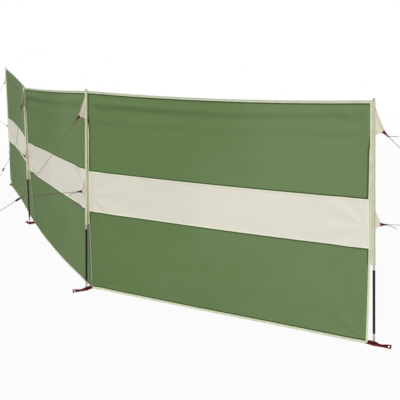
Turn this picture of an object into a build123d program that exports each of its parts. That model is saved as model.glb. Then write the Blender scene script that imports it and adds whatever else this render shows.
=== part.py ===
from build123d import *
import os
from math import cos, pi, radians, sin, tan

# Beach windbreak of three bays: a strip of green cloth with a cream band, hung
# on four steel poles in cream pockets and held by bridled guy lines and foot
# straps. Millimetres, +Z up. The origin is on the ground under pole 1, the free
# pole at the right end, and bay 1 runs from it along -X. The guy lines stand on
# the -Y side, which is the outside of the bend.

# The wall in plan and in height
bay_length = 2000.0
bay_headings = (180.0, 142.3, 137.5)
wall_height = 1400.0
pole_top_drops = (10.0, 0.0, 72.0, -65.0)
pole_drop_powers = (1, 1, 1, 4)
pole_leans = ((-44.0, -6.0), (36.0, 24.0), (10.0, -4.0), (-2.0, 4.0))

# Cloth: the strip, its band, hems and edge bindings. Each bay bows outwards by its three bows, at the
# foot, at half height and at the top, and inwards where they are negative
cloth_thickness = 2.4
hem_thickness = 4.0
hem_width = 16.0
binding_width = 11.0
band_top_share = 0.604
band_bottom_share = 0.4065
ground_clearance = 2.3
top_sags = (22.0, 9.0, 8.0)
bows = ((0.0, 18.0, 0.0), (28.0, 6.0, 0.0), (-10.0, -28.0, -21.0))
fold_clearance = 0.9
seam_clearance = 0.2

# Pole pockets: the seam stands further off the pole towards the foot
seam_offset_tops = (9.0, 12.0, 12.0, 9.0)
seam_offset_feet = (37.0, 50.0, 50.0, 37.0)
pocket_wall = 1.2
pocket_tail_radius = 1.0
pocket_foot_share = 0.338
pocket_sections = 6

# Poles: a steel tube, a black lower sleeve, a foot cap and a top plug
tube_radius = 6.0
tube_wall = 1.0
tube_foot = 10.0
tube_rise = 7.0
sliding_clearance = 0.3
lower_tube_wall = 1.2
lower_tube_foot = 72.0
lower_tube_clearance = 7.0
cap_wall = 2.0
cap_height = 27.0
cap_shoulder = 3.5
cap_chamfer = 1.5
pin_radius = 3.0
plug_collar_height = 2.0
plug_depth = 15.0
plug_crown_radius = 3.5
plug_crown_height = 1.5

# Foot straps of webbing, narrow between an eyelet for the pole's pin and an eye for a peg
strap_width = 26.0
strap_waist = 16.0
strap_thickness = 2.0
strap_tail = 9.0
strap_reach = 96.0
strap_headings = (3.0, 228.0, 152.0, 142.0)
eyelet_radius = 7.0
eyelet_height = 3.2
eyelet_clearance = 0.3
strap_eye_radius = 5.5
strap_eye_inset = 14.0

# Cloth flaps on the pockets, where the bridles pull: top, tip and bottom, as
# shares of the wall height measured down from the top of the cloth
flap_shares = ((0.022, 0.121, 0.136), (0.433, 0.489, 0.511))
flap_reaches = (48.0, 34.0)
flap_tip_height = 20.0
flap_thickness = 2.0
flap_hollow = 1.5
flap_foot_hollow = 3.5

# Tabs and rings at the flap tips
tab_width = 18.0
tab_end_width = 9.0
tab_length = 24.0
tab_thickness = 2.4
ring_radius = 4.5
ring_wire_radius = 1.6

# Guy lines: two legs from the flaps to a knot, and one line on to a peg
cord_radius = 1.5
guy_headings = (-13.0, 251.0, 285.0, 155.0)
knot_reaches = (550.0, 470.0, 220.0, 750.0)
knot_heights = (785.0, 750.0, 790.0, 900.0)
peg_reaches = (2200.0, 2240.0, 1330.0, 2450.0)
knot_radius = 4.5
knot_facets = 5
slider_length = 36.0
slider_width = 11.0
slider_thickness = 7.0
slider_chamfer = 2.5
slider_offsets = (9.0, 9.0, 270.0, 9.0)

# Ground pegs, down to the ground
peg_radius = 2.5
peg_slope = 60.0
peg_shank = 46.0
peg_hook_radius = 8.0
peg_hook_end = 12.0
peg_hook_bends = 3
peg_loop_height = 22.0

# How far a cut runs past what it cuts
over_cut = 20.0

# Loose cord ends at three of the rings: how far past the ring they start, the length of each straight
# run, its slope at an upper and at a middle ring, and the share of the shorter run that an arc takes
tail_step = 2.0
tail_runs = (20.0, 20.0, 16.0)
tail_slopes = ((8.0, 2.0, -10.0), (-5.0, -14.0, -26.0))
arc_share = 0.45

POLES = range(4)
BAYS = range(3)
UPWARD = (Align.CENTER, Align.CENTER, Align.MIN)


def heading(angle):
    """A level unit vector at a plan angle in degrees."""
    return Vector(cos(radians(angle)), sin(radians(angle)), 0)


def pole_feet():
    """Where each pole meets the ground, from pole 1 along the bays."""
    feet = [Vector(0, 0, 0)]
    for angle in bay_headings:
        feet.append(feet[-1] + heading(angle) * bay_length)
    return feet


def seam_directions():
    """Level directions from pole to seam: along the wall at the ends, into the bend between."""
    along = [heading(angle) for angle in bay_headings]
    inner = [(along[n + 1] - along[n]).normalized() for n in range(len(along) - 1)]
    return [along[0]] + inner + [along[-1] * -1]


FEET = pole_feet()
SEAMS = seam_directions()
TOPS = [wall_height - drop for drop in pole_top_drops]


def pole_point(pole, height):
    """The point at a height on the axis of a leaning pole."""
    lean_x, lean_y = pole_leans[pole]
    share = height / wall_height
    return FEET[pole] + Vector(lean_x * share, lean_y * share, height)


def pole_axis(pole):
    return (pole_point(pole, wall_height) - FEET[pole]).normalized()


def pole_plane(pole, x_direction):
    """A plane through the pole's axis: X points out along x_direction and Y up the pole."""
    axis = pole_axis(pole)
    normal = x_direction.cross(axis).normalized()
    return Plane(FEET[pole], x_dir=axis.cross(normal), z_dir=normal)


def seam_offset(pole, share):
    """Distance of the seam from the pole's axis at a share of the cloth's height."""
    top, foot = seam_offset_tops[pole], seam_offset_feet[pole]
    return top + (foot - top) * (1 - share) ** 2


def cloth_height(pole, share):
    """The height at a pole of a share of the cloth: all of the pole's drop is reached at the top."""
    drop = pole_top_drops[pole] * share ** pole_drop_powers[pole]
    return ground_clearance + share * (wall_height - ground_clearance) - drop


def seam_point(pole, share):
    return pole_point(pole, cloth_height(pole, share)) + SEAMS[pole] * seam_offset(pole, share)


def bow(bay, v):
    """How far the middle of a bay bows outwards at a share v: a parabola through the bay's three bows."""
    foot, middle, top = bows[bay]
    return foot * (1 - v) * (1 - 2 * v) + middle * 4 * v * (1 - v) + top * v * (2 * v - 1)


def cloth_point(bay, u, v):
    """A point of the strip in a bay: u runs from pole to pole, v from the ground up."""
    start, end = seam_point(bay, v), seam_point(bay + 1, v)
    arch = 4 * u * (1 - u)
    out = heading(bay_headings[bay] + 90) * (bow(bay, v) * arch)
    sag = Vector(0, 0, top_sags[bay] * arch * v**3)
    return start + (end - start) * u + out - sag


def cloth_patch(bay, u_range, v_range, thickness, columns=13, rows=5):
    """A piece of the strip between two pairs of edges, as a thin solid."""
    def spread(low, high, count):
        return [low + (high - low) * n / (count - 1) for n in range(count)]

    across, up = spread(*u_range, columns), spread(*v_range, rows)
    points = [[cloth_point(bay, u, v) for v in up] for u in across]
    face = Face.make_surface_from_array_of_points(points, tol=1e-3)
    return thicken(face, amount=thickness / 2, both=True)


def bay_span(bay):
    """The cloth's range of u in a bay, which ends at a fold or at an edge binding."""
    start = binding_width + seam_clearance if bay == 0 else fold_clearance
    end = binding_width + seam_clearance if bay == 2 else fold_clearance
    return start / bay_length, 1 - end / bay_length


def ring(radius, wire_radius):
    """A flat-sided ring as thick as its wire, round Z."""
    height = 2 * wire_radius
    return Cylinder(radius + wire_radius, height) - Cylinder(radius - wire_radius, height)


def rod(start, end, radius):
    """A round rod between two points."""
    along = end - start
    return Plane(start, z_dir=along) * Cylinder(radius, along.length, align=UPWARD)


def above_ground(shape):
    """The part of a shape above the ground."""
    box = shape.bounding_box()
    length, width, depth = box.size.X + over_cut, box.size.Y + over_cut, over_cut - box.min.Z
    block = Box(length, width, depth, align=(Align.CENTER, Align.CENTER, Align.MAX))
    return shape - Pos(box.center().X, box.center().Y) * block


def write(name, shapes):
    solids = [solid for shape in shapes for solid in shape.solids()]
    export_step(solids[0] if len(solids) == 1 else Compound(children=solids), f"parts/{name}.step")


def make_cloth():
    """The strip: green over cream over green in each bay, with its hems and end bindings."""
    hem_share = hem_width / wall_height
    gap = seam_clearance / wall_height
    rows = {
        "lower_cloth": (hem_share + gap, band_bottom_share - gap / 2),
        "band_cloth": (band_bottom_share + gap / 2, band_top_share - gap / 2),
        "upper_cloth": (band_top_share + gap / 2, 1 - hem_share - gap),
    }
    top_hems, bottom_hems = [], []
    for bay in BAYS:
        span = bay_span(bay)
        for row, v_range in rows.items():
            write(f"bay_{bay + 1}_{row}", [cloth_patch(bay, span, v_range, cloth_thickness)])
        top_hems.append(cloth_patch(bay, span, (1 - hem_share, 1), hem_thickness, rows=3))
        bottom_hems.append(cloth_patch(bay, span, (0, hem_share), hem_thickness, rows=3))
    write("top_hems", top_hems)
    write("bottom_hems", bottom_hems)
    edge = binding_width / bay_length
    for name, bay, u_range in (("right", BAYS[0], (0, edge)), ("left", BAYS[-1], (1 - edge, 1))):
        binding = cloth_patch(bay, u_range, (0, 1), hem_thickness, columns=3, rows=13)
        write(f"{name}_edge_binding", [binding])


def make_pocket(pole):
    """A folded pocket: a teardrop round the pole that closes at the seam, lofted up the pole."""
    bore = tube_radius + sliding_clearance
    at_end = pole in (POLES[0], POLES[-1])
    stand_off = seam_clearance if at_end else hem_thickness / 2 + seam_clearance
    axis = pole_axis(pole)
    toward_seam = SEAMS[pole] - axis * SEAMS[pole].dot(axis)
    sections = []
    for n in range(pocket_sections):
        share = pocket_foot_share + (1 - pocket_foot_share) * n / (pocket_sections - 1)
        tail = max(bore, seam_offset(pole, share) - stand_off - pocket_tail_radius)
        plane = Plane(pole_point(pole, cloth_height(pole, share)), x_dir=toward_seam, z_dir=axis)
        nose, edge = Circle(bore + pocket_wall), Pos(tail, 0) * Circle(pocket_tail_radius)
        sections.append(plane * make_hull(nose.edges() + edge.edges()))
    pocket = loft(sections, ruled=True) - rod(FEET[pole], pole_point(pole, TOPS[pole] + over_cut), bore)
    write(f"pole_{pole + 1}_pocket", [pocket])


def make_pole(pole):
    """The steel tube; it returns the black lower sleeve, the foot cap with its pin and the top plug."""
    upright = Plane(FEET[pole], z_dir=pole_axis(pole))
    tube_top = TOPS[pole] + tube_rise

    def tube(low, high, inner, outer):
        return upright * Pos(0, 0, low) * extrude(Circle(outer) - Circle(inner), high - low)

    def turned(*outline):
        return upright * revolve(Plane.XZ * make_face(Polyline(*outline, close=True)), Axis.Z)

    write(f"pole_{pole + 1}_tube", [tube(tube_foot, tube_top, tube_radius - tube_wall, tube_radius)])
    bore = tube_radius + sliding_clearance
    sleeve_top = min(cloth_height(each, pocket_foot_share) for each in POLES) - lower_tube_clearance
    sleeve = tube(lower_tube_foot, sleeve_top, bore, bore + lower_tube_wall)

    outer = bore + cap_wall
    floor = tube_foot - seam_clearance
    cap = turned(
        (0, -eyelet_height), (pin_radius, -eyelet_height), (pin_radius, cap_shoulder),
        (outer - cap_chamfer, cap_shoulder), (outer, cap_shoulder + cap_chamfer), (outer, cap_height),
        (bore, cap_height), (bore, floor), (0, floor))

    plug = tube_radius - tube_wall - sliding_clearance
    collar = tube_top + seam_clearance
    shoulder = collar + plug_collar_height
    crown = shoulder + plug_crown_height
    tip = turned(
        (0, collar - plug_depth), (plug, collar - plug_depth), (plug, collar), (tube_radius, collar),
        (tube_radius, shoulder), (plug_crown_radius, crown), (0, crown))
    return sleeve, above_ground(cap), tip


def make_strap(pole):
    """Webbing from the cloth's bottom corner, under the pole and out to a peg eye, and its eyelet."""
    foot, out = FEET[pole], heading(strap_headings[pole])
    end = foot + out * (strap_reach - strap_width / 2)

    def disc(centre, radius, height):
        return Pos(*centre) * Cylinder(radius, height, align=UPWARD)

    def strip(direction, length, width):
        plate = Box(length, width, strap_thickness, align=(Align.MIN, Align.CENTER, Align.MIN))
        return Plane(foot, x_dir=direction, z_dir=(0, 0, 1)) * plate

    plates = disc(foot, strap_width / 2, strap_thickness) + disc(end, strap_width / 2, strap_thickness)
    plates += strip(SEAMS[pole], seam_offset_feet[pole] + strap_tail, strap_width)
    plates += strip(out, (end - foot).length, strap_waist)
    plates -= disc(foot + out * (strap_reach - strap_eye_inset), strap_eye_radius, over_cut)
    plates -= disc(foot, eyelet_radius + eyelet_clearance, over_cut)
    write(f"pole_{pole + 1}_foot_strap", [plates])
    return disc(foot, eyelet_radius, eyelet_height) - disc(foot, pin_radius + eyelet_clearance, over_cut)


def flap_face(shares, reach, height, root, knot):
    """A flap in a plane up the pole, hollowed from its root to a tip that faces the knot."""
    top, tip, foot = (height * (1 - share) for share in shares)
    tip = Vector(root + reach, tip)
    pull = (knot - tip).normalized()
    half = Vector(-pull.Y, pull.X) * flap_tip_height / 2
    high_tip, low_tip = tip + half, tip - half
    upper_hollow = (Vector(root, top) + high_tip) / 2 - Vector(flap_hollow, flap_hollow)
    lower_hollow = (Vector(root, foot) + low_tip) / 2 + Vector(0, flap_foot_hollow)
    edges = [
        Line((root, foot), (root, top)),
        ThreePointArc((root, top), upper_hollow, high_tip),
        Line(high_tip, low_tip),
        ThreePointArc(low_tip, lower_hollow, (root, foot)),
    ]
    return make_face(edges), tip


def make_guy(pole):
    """The flaps, tabs, rings, cords, knot, slider and peg of one pole's guy line."""
    out = heading(guy_headings[pole])
    root = tube_radius + sliding_clearance + pocket_wall + seam_clearance
    plane = pole_plane(pole, out)
    height = TOPS[pole]
    knot = FEET[pole] + out * knot_reaches[pole] + Vector(0, 0, knot_heights[pole])
    knot_local = plane.to_local_coords(knot)
    knot_local = Vector(knot_local.X, knot_local.Y)
    knot = plane.from_local_coords(knot_local)
    ground = FEET[pole] + out * peg_reaches[pole]
    flaps, tabs, rings, legs, ends = [], [], [], [], []
    for shares, reach, slopes, side in zip(flap_shares, flap_reaches, tail_slopes, (1, -1)):
        face, tip = flap_face(shares, reach, height, root, knot_local)
        flaps.append(plane * extrude(face, flap_thickness / 2, both=True))
        start = plane.from_local_coords(tip)
        pull = (knot - start).normalized()
        tab_plane = Plane(start + pull * seam_clearance, x_dir=pull, z_dir=plane.z_dir)
        tab = make_face(Polyline(
            (0, -tab_width / 2), (tab_length, -tab_end_width / 2), (tab_length, tab_end_width / 2),
            (0, tab_width / 2), close=True))
        tabs.append(tab_plane * extrude(tab, tab_thickness / 2, both=True))
        ring_reach = ring_radius + ring_wire_radius + seam_clearance
        centre = start + pull * (tab_length + ring_reach + seam_clearance)
        rings.append(Plane(centre, z_dir=plane.z_dir) * ring(ring_radius, ring_wire_radius))
        leg_end = knot - pull * (knot_radius + seam_clearance)
        legs.append(rod(centre + pull * ring_reach, leg_end, cord_radius))
        beside = pull.cross(plane.z_dir) * -side * (2 * cord_radius + seam_clearance)
        ends.append(tail_route(centre + pull * (ring_reach + tail_step) + beside, out, slopes))
    shank_up = out * cos(radians(peg_slope)) + Vector(0, 0, sin(radians(peg_slope)))
    loop_centre = ground + shank_up * (peg_loop_height / sin(radians(peg_slope)))
    loop_radius = peg_radius + cord_radius + sliding_clearance
    along = (loop_centre - knot).normalized()
    loop = Plane(loop_centre, z_dir=shank_up) * ring(loop_radius, cord_radius)
    line_start = knot + along * (knot_radius + seam_clearance)
    line = rod(line_start, loop_centre - along * loop_radius, cord_radius) + loop
    write(f"pole_{pole + 1}_guy_line", legs + [line])
    write(f"pole_{pole + 1}_guy_flaps", flaps)

    at_slider = knot + along * (knot_radius + slider_offsets[pole] + slider_length / 2)
    block = Box(slider_length, slider_width, slider_thickness)
    slider = chamfer(block.edges().filter_by(Axis.Z), slider_chamfer)
    slider -= Rot(0, 90, 0) * Cylinder(cord_radius + sliding_clearance, slider_length + over_cut)
    slider = Plane(at_slider, x_dir=along, z_dir=plane.z_dir) * slider
    return tabs, rings, make_knot(knot, along), slider, make_peg(ground, shank_up, out), ends


def make_knot(place, along):
    """A knot as a faceted bead round the line: the chords of a half circle, turned round it."""
    turns = [pi * (n / knot_facets - 1 / 2) for n in range(knot_facets + 1)]
    outline = [(knot_radius * cos(turn), knot_radius * sin(turn)) for turn in turns]
    bead = revolve(Plane.XZ * make_face(Polyline(*outline, close=True)), Axis.Z)
    return Plane(place, z_dir=along) * bead


def make_peg(ground, shank_up, out):
    """A wire peg above the ground, which leans out and hooks over away from the pole."""
    plane = Plane(ground, x_dir=shank_up, z_dir=shank_up.cross(out).normalized())
    foot, tip = (-over_cut, 0), (peg_shank - peg_hook_end, 2 * peg_hook_radius)
    turns = [pi * n / peg_hook_bends for n in range(peg_hook_bends + 1)]
    hook = [(peg_shank + peg_hook_radius * sin(turn), peg_hook_radius * (1 - cos(turn))) for turn in turns]
    wire = plane * Polyline(foot, *hook, tip)
    profile = Plane(plane.from_local_coords(Vector(*foot)), z_dir=shank_up) * Circle(peg_radius)
    return above_ground(sweep(profile, path=wire, transition=Transition.RIGHT))


def tail_route(start, out, slopes):
    """The corners of a loose cord end that leaves its leg just past a ring."""
    route = [start]
    for run, slope in zip(tail_runs, slopes):
        direction = out * cos(radians(slope)) + Vector(0, 0, sin(radians(slope)))
        route.append(route[-1] + direction * run)
    return route


def make_tail(name, route):
    """A loose end of cord: straight runs joined by tangent arcs."""
    runs = [end - start for start, end in zip(route, route[1:])]
    radii = []
    for first, second in zip(runs, runs[1:]):
        half_turn = radians(first.get_angle(second) / 2)
        radii.append(arc_share * min(first.length, second.length) / tan(half_turn))
    path = FilletPolyline(*route, radius=radii)
    cord = sweep(Plane(route[0], z_dir=runs[0]) * Circle(cord_radius), path=path)
    share = cord.volume / (pi * cord_radius**2 * path.length)
    print(name, "arc radii", [round(radius, 1) for radius in radii], "volume share", round(share, 4))
    write(name, [cord])


def main():
    os.makedirs("parts", exist_ok=True)
    make_cloth()
    sleeves, caps, tips, eyelets = [], [], [], []
    tabs, rings, knots, sliders, pegs, ends = [], [], [], [], [], []
    for pole in POLES:
        make_pocket(pole)
        sleeve, cap, tip = make_pole(pole)
        sleeves.append(sleeve)
        caps.append(cap)
        tips.append(tip)
        eyelets.append(make_strap(pole))
        pole_tabs, pole_rings, knot, slider, peg, pole_ends = make_guy(pole)
        tabs += pole_tabs
        rings += pole_rings
        knots.append(knot)
        sliders.append(slider)
        pegs.append(peg)
        ends.append(pole_ends)
    write("lower_sleeves", sleeves)
    write("foot_caps", caps)
    write("pole_top_plugs", tips)
    write("strap_eyelets", eyelets)
    write("guy_tabs", tabs)
    write("guy_rings", rings)
    write("guy_knots", knots)
    write("guy_sliders", sliders)
    write("guy_pegs", pegs)
    make_tail("cord_end_1_upper", ends[0][0])
    make_tail("cord_end_1_middle", ends[0][1])
    make_tail("cord_end_2_middle", ends[1][1])


main()
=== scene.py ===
from math import cos, pi, radians, sin

import bpy
import numpy as np
from mathutils import Matrix, Vector


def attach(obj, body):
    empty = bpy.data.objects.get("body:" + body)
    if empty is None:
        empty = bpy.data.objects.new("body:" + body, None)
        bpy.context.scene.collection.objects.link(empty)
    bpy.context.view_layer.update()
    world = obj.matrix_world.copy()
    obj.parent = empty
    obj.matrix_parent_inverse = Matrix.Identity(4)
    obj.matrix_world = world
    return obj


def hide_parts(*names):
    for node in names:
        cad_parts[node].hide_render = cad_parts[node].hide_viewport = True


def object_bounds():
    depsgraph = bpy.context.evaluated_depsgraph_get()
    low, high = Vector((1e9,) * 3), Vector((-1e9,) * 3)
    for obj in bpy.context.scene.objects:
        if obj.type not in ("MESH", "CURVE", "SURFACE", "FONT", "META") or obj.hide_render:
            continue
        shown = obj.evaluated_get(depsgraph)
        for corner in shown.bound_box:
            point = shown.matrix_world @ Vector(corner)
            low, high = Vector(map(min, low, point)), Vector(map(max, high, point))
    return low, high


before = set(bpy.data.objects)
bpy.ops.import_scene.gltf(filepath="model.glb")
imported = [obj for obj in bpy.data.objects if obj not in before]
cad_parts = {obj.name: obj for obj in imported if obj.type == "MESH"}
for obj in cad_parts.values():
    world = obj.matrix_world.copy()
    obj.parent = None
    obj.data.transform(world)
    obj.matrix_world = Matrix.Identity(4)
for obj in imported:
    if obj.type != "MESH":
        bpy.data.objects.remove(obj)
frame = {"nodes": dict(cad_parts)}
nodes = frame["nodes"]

cad_box = [list(corner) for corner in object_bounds()]
scene = bpy.context.scene
scene.view_settings.view_transform = "Standard"


# Camera
# It stands at eye height in front of the free end and looks along the bend, a little downwards. The
# frame is cropped low, so the lens is shifted down by an eighth of it.
eye = Vector((0.727, -3.594, 1.662))
look_heading, look_down, roll = radians(116.91), radians(8.58), radians(-0.42)
focal_pixels, frame_pixels, crop_pixels, sensor_mm = 660.0, 400.0, 50.0, 36.0
forward = Vector((cos(look_heading) * cos(look_down), sin(look_heading) * cos(look_down),
                  -sin(look_down)))
level_right = forward.cross(Vector((0, 0, 1))).normalized()
level_up = level_right.cross(forward)
right = level_right * cos(roll) + level_up * sin(roll)
up = level_up * cos(roll) - level_right * sin(roll)
camera = bpy.data.objects.new("camera", bpy.data.cameras.new("camera"))
camera.data.sensor_width = sensor_mm
camera.data.lens = sensor_mm * focal_pixels / frame_pixels
camera.data.shift_y = -crop_pixels / frame_pixels
camera.matrix_world = Matrix.Translation(eye) @ Matrix((right, up, -forward)).transposed().to_4x4()
scene.collection.objects.link(camera)
scene.camera = camera


# Floor and light
# A pale floor that fades to white far from the object, a white surround for the camera and for
# reflections, even light from all round, and one broad soft sun from the front.
class Value:
    """A value that varies over a surface: an output socket whose operators add Math nodes."""

    def __init__(self, nodes, socket):
        self.nodes, self.socket = nodes, socket

    def math(self, operation, *others):
        return self.nodes.add("Math", {"operation": operation}, dict(enumerate((self, *others))))

    def __add__(self, other):
        return self.math("ADD", other)

    def __mul__(self, other):
        return self.math("MULTIPLY", other)

    def __sub__(self, other):
        return self.math("SUBTRACT", other)

    def __rsub__(self, other):
        return self.nodes.add("Math", {"operation": "SUBTRACT"}, {0: other, 1: self})

    __radd__, __rmul__ = __add__, __mul__

    def wave(self, pitch):
        """A sine of this value, from 0 to 1, that repeats once a pitch."""
        return (self * (2 * pi / pitch)).math("SINE") * 0.5 + 0.5

    def ramp(self, low, high):
        """0 below low and 1 above high, smooth between."""
        limits = {"Value": self, "From Min": low, "From Max": high}
        return self.nodes.add("MapRange", {"interpolation_type": "SMOOTHSTEP"}, limits)


class Nodes:
    """A node tree under construction: add() is the one way in for every node."""

    def __init__(self, tree):
        self.tree = tree
        tree.nodes.clear()

    def add(self, kind, settings=(), inputs=(), output=0):
        """A node of one kind: its settings first, then the values or links of its sockets."""
        node = self.tree.nodes.new("ShaderNode" + kind)
        for name, setting in dict(settings).items():
            setattr(node, name, setting)
        for name, value in dict(inputs).items():
            if isinstance(value, Value):
                self.tree.links.new(value.socket, node.inputs[name])
            else:
                node.inputs[name].default_value = value
        return Value(self, node.outputs[output])

    def mix(self, factor, first, second, blend="MIX"):
        """A colour between two others, or the first changed by the second."""
        settings = {"data_type": "RGBA", "blend_type": blend}
        return self.add("Mix", settings, {0: factor, 6: first, 7: second}, 2)

    def axis(self, vector, name):
        """A vector's X, Y or Z."""
        return self.add("SeparateXYZ", (), {"Vector": vector}, name)

    def stretched(self, vector, scales):
        """A vector times a scale for each axis."""
        return self.add("VectorMath", {"operation": "MULTIPLY"}, {0: vector, 1: scales})

    def noise(self, vector, scale, detail=3.0):
        """Clouds from 0 to 1, about one to each 1/scale of the vector."""
        return self.add("TexNoise", (), {"Vector": vector, "Scale": scale, "Detail": detail})

    def output(self, kind, shader):
        """Ends the tree in a material's or a world's output, which has no socket to hand on."""
        node = self.tree.nodes.new("ShaderNodeOutput" + kind)
        self.tree.links.new(shader.socket, node.inputs["Surface"])


def paint(red, green, blue):
    """A colour as it looks on a screen, from 0 to 255, as the linear colour that a shader takes."""
    shares = (value / 255 for value in (red, green, blue))
    return (*(x / 12.92 if x <= 0.04045 else ((x + 0.055) / 1.055) ** 2.4 for x in shares), 1.0)


white = (1.0, 1.0, 1.0, 1.0)
light_level = 0.54
floor_colour = paint(247, 247, 247)
floor_half, fade_start, fade_end, glow_share = 40.0, 7.0, 14.0, 0.88
sun_strength, sun_width = 1.85, radians(30)
sun_from = Vector((0.16, -0.80, 0.56))

world = bpy.data.worlds.new("studio")
scene.world = world
world.use_nodes = True
studio = Nodes(world.node_tree)


def seen(nodes):
    """1 for camera, glossy and transmission rays, and 0 for the rest."""
    camera_ray, glossy_ray, through_ray = (
        nodes.add("LightPath", (), (), f"Is {kind} Ray") for kind in ("Camera", "Glossy", "Transmission"))
    return camera_ray.math("MAXIMUM", glossy_ray).math("MAXIMUM", through_ray)


strength = seen(studio) * (1 - light_level) + light_level
studio.output("World", studio.add("Background", (), {"Color": white, "Strength": strength}))

floor_mesh = bpy.data.meshes.new("floor")
centre_x, centre_y = ((cad_box[0][axis] + cad_box[1][axis]) / 2 for axis in (0, 1))
corners = [(centre_x + x * floor_half, centre_y + y * floor_half, 0)
           for x, y in ((-1, -1), (1, -1), (1, 1), (-1, 1))]
floor_mesh.from_pydata(corners, [], [(0, 1, 2, 3)])
floor = bpy.data.objects.new("floor", floor_mesh)
scene.collection.objects.link(floor)
floor_material = bpy.data.materials.new("floor")
floor_material.use_nodes = True
ground = Nodes(floor_material.node_tree)
place = ground.add("TexCoord", (), (), "Object")
floor_centre = (centre_x, centre_y, 0)
from_centre = ground.add("VectorMath", {"operation": "DISTANCE"}, {0: place, 1: floor_centre}, "Value")
matt = ground.add("BsdfDiffuse", (), {"Color": floor_colour})
glow = ground.add("Emission", (), {"Color": white})
faded = (from_centre.ramp(fade_start, fade_end) * (1 - glow_share) + glow_share) * seen(ground)
ground.output("Material", ground.add("MixShader", (), {0: faded, 1: matt, 2: glow}))
floor_mesh.materials.append(floor_material)

sun = bpy.data.objects.new("sun", bpy.data.lights.new("sun", "SUN"))
sun.data.energy, sun.data.angle = sun_strength, sun_width
sun.rotation_euler = sun_from.to_track_quat("Z", "Y").to_euler()
scene.collection.objects.link(sun)


# Poles
# Drawn steel tube, 12 mm, satin, with fine lines along its length. A black lacquered sleeve slides on the
# lower part, a moulded black cap closes the foot and carries the pin, and a plug closes the top.
def finish(name, sewn=False):
    """A new material, its node tree, and the place on a piece: its UV in metres on sewn goods, and the
    object's coordinates on the rest."""
    material = bpy.data.materials.new(name)
    material.use_nodes = True
    nodes = Nodes(material.node_tree)
    if sewn:
        return material, nodes, nodes.add("UVMap", {"uv_map": "cloth"})
    return material, nodes, nodes.add("TexCoord", (), (), "Object")


def close(material, nodes, colour, roughness, height, depth, **fixed):
    """Ends a material in one Principled shader. The height becomes its bump, depth metres deep, and each
    fixed number is set on its socket."""
    inputs = {"Base Color": colour, "Roughness": roughness}
    inputs.update({name.replace("_", " "): value for name, value in fixed.items()})
    inputs["Normal"] = nodes.add("Bump", (), {"Height": height, "Distance": depth})
    nodes.output("Material", nodes.add("BsdfPrincipled", (), inputs))
    return material


def steel_finish():
    """Satin drawn steel: bright with faint lines along the tube and cloudy handling marks."""
    material, nodes, place = finish("steel")
    lines = nodes.noise(nodes.stretched(place, (900, 900, 7)), 1.0)
    marks = nodes.noise(place, 35.0)
    colour = nodes.mix(marks.ramp(0.35, 0.7), (0.43, 0.42, 0.39, 1), (0.56, 0.55, 0.52, 1))
    colour = nodes.mix(lines * 0.35, colour, (0.30, 0.29, 0.27, 1))
    return close(material, nodes, colour, 0.26 + 0.2 * lines + 0.12 * marks, lines, 0.0001, Metallic=1.0)


def lacquer_finish():
    """Black lacquer with a faint orange peel, dulled and scuffed grey in patches."""
    material, nodes, place = finish("black_lacquer")
    scuffs = nodes.noise(nodes.stretched(place, (260, 260, 34)), 1.0, 5.0).ramp(0.60, 0.74)
    peel = nodes.noise(place, 1400.0, 1.0)
    dull = nodes.noise(place, 22.0)
    colour = nodes.mix(scuffs * 0.4, (0.007, 0.008, 0.007, 1), (0.05, 0.05, 0.046, 1))
    roughness = 0.36 + 0.2 * dull + 0.2 * scuffs
    return close(material, nodes, colour, roughness, peel, 0.00006, Specular_IOR_Level=0.2)


def plastic_finish():
    """Moulded black plastic with a fine spark grain."""
    material, nodes, place = finish("black_plastic")
    grain = nodes.noise(place, 2600.0, 2.0)
    worn = nodes.noise(place, 60.0)
    colour = nodes.mix(worn.ramp(0.45, 0.75), (0.010, 0.010, 0.011, 1), (0.022, 0.022, 0.023, 1))
    return close(material, nodes, colour, 0.42 + 0.2 * grain, grain, 0.00008, Specular_IOR_Level=0.25)


def dress(name, material):
    """Gives a node of the frame its material."""
    mesh = nodes[name].data
    mesh.materials.clear()
    mesh.materials.append(material)


steel, lacquer, plastic = steel_finish(), lacquer_finish(), plastic_finish()
poles, end_poles = range(4), (0, 3)
for pole in poles:
    dress(f"pole_{pole + 1}_tube", steel)
dress("lower_sleeves", lacquer)
dress("foot_caps", plastic)
dress("pole_top_plugs", plastic)


# Eyelets
# Zinc-plated eyelets, pressed into the foot straps. Each one lies round a pole's pin, where the strap
# carries the pole.
def zinc_finish():
    """Zinc plating: a bright blue-grey with small pale crystals."""
    material, nodes, place = finish("zinc")
    crystals = nodes.add("TexVoronoi", (), {"Vector": place, "Scale": 420.0})
    colour = nodes.mix(crystals.ramp(0.1, 0.7), (0.50, 0.51, 0.53, 1), (0.68, 0.69, 0.70, 1))
    return close(material, nodes, colour, 0.30 + 0.18 * crystals, crystals, 0.00005, Metallic=1.0)


zinc = zinc_finish()
dress("strap_eyelets", zinc)


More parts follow.
